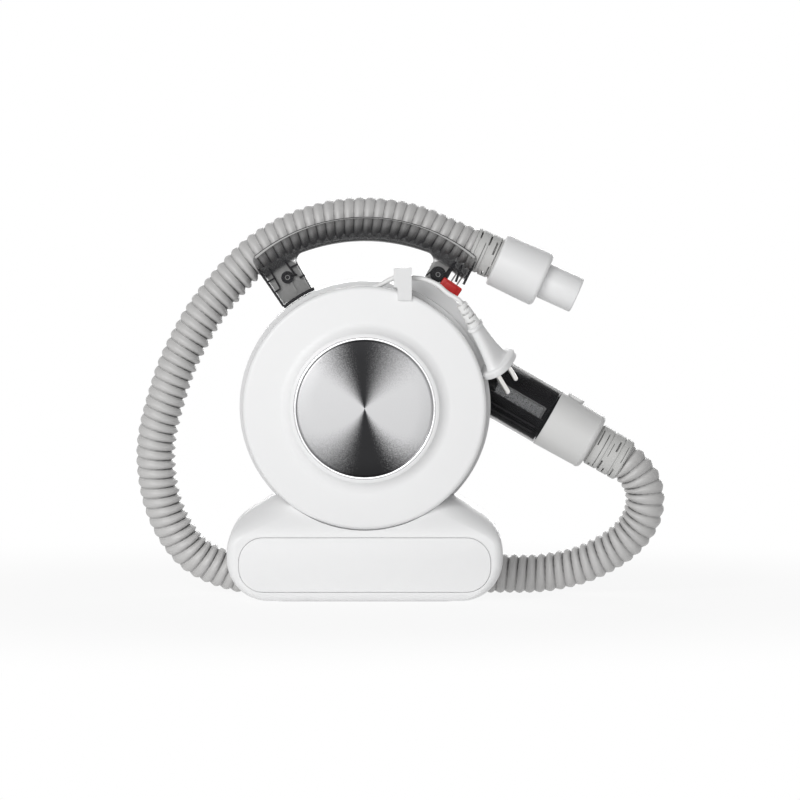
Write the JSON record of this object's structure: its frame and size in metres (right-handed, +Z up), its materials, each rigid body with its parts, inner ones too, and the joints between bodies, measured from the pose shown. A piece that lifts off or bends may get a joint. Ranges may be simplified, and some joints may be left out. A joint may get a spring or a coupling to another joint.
{
  "type": "pet dryer",
  "caption": "Round blower drum on a wide foot with a smoked carrying handle that cradles its ribbed hose, a swivelling hand nozzle and a mains cord wound behind the front cover.",
  "frame": {"origin": "on the sole, under the middle of the foot's width", "axes": "+Z up; -Y is the front with the steel disc; +X is the side of the outlet duct; the drum's axis runs along Y"},
  "size_m": [0.4127, 0.1104, 0.312],
  "materials": {
    "white_shell": "satin moulded",
    "grey_plastic": "fine moulded",
    "black_rubber": "matte",
    "steel": "zinc plated",
    "circuit_board": "lacquered board",
    "spun_steel": "spun in fine circles",
    "polished_trim": "polished",
    "black_plastic": "satin",
    "filter_foam": "open foam",
    "smoked_plastic": "smoked transparent plastic",
    "aluminium_fins": "bare sheet",
    "grey_rubber": "soft satin",
    "hose_grey": "flexible satin",
    "dark_grey_plastic": "fine moulded",
    "dark_steel": "black oxide",
    "red_plastic": "glossy",
    "white_cord": "satin jacket",
    "nickel": "nickel plated"
  },
  "bodies": {
    "dryer": {"foot_shell": "white_shell", "foot_plate": "grey_plastic", "foot_sole": "black_rubber", "foot_panel": "white_shell", "plate_screws": "steel", "control_board": "circuit_board", "rear_housing": "white_shell", "cord_spool": "white_shell", "front_cover": "white_shell", "steel_disc": "spun_steel", "disc_ring": "polished_trim", "motor": "steel", "motor_mount": "black_rubber", "inlet_plate": "grey_plastic", "air_filter": "filter_foam", "rear_cover": "white_shell", "rear_cover_screws": "steel", "outlet_duct": "smoked_plastic", "heater_frame": "black_plastic", "heater_fins": "aluminium_fins", "hose_collar": "grey_plastic", "outlet_cuff": "grey_rubber", "hose": "hose_grey", "nozzle_cuff": "grey_rubber", "handle_front": "smoked_plastic", "handle_rear": "smoked_plastic", "handle_frame": "dark_grey_plastic", "handle_screws": "dark_steel", "slide_switch": "black_plastic", "cord_winding": "white_cord", "cord_gland": "grey_plastic", "cord_tail": "white_cord", "cord_clip": "white_shell", "plug_relief": "white_cord", "plug_body": "white_shell", "plug_pins": "nickel"},
    "fan": {"impeller": "black_plastic", "motor_shaft": "steel"},
    "grille": {"intake_grille": "white_shell"},
    "release": {"release_button": "grey_plastic"},
    "power": {"power_slider": "red_plastic"},
    "nozzle": {"nozzle_grip": "white_shell", "nozzle_tip": "white_shell"}
  },
  "joints": [
    {"name": "impeller_spin", "type": "hinge", "parent": "dryer", "child": "fan", "pos_m": [0, 0.025, 0.15], "axis": [0, 1, 0], "continuous": true},
    {"name": "grille_twist", "type": "hinge", "parent": "dryer", "child": "grille", "pos_m": [0, 0.0495, 0.15], "axis": [0, 1, 0], "range_deg": [-25, 0]},
    {"name": "release_press", "type": "slide", "parent": "dryer", "child": "release", "axis": [-0.5, 0, -0.866], "range_m": [0, 0.0018], "stiffness_N_per_m": 600},
    {"name": "power_slide", "type": "slide", "parent": "dryer", "child": "power", "axis": [0.5592, 0, 0.829], "range_m": [0, 0.006]},
    {"name": "nozzle_swivel", "type": "hinge", "parent": "dryer", "child": "nozzle", "pos_m": [0.1026, 0.0225, 0.26397], "axis": [0.91, 0, -0.4147], "continuous": true}
  ]
}
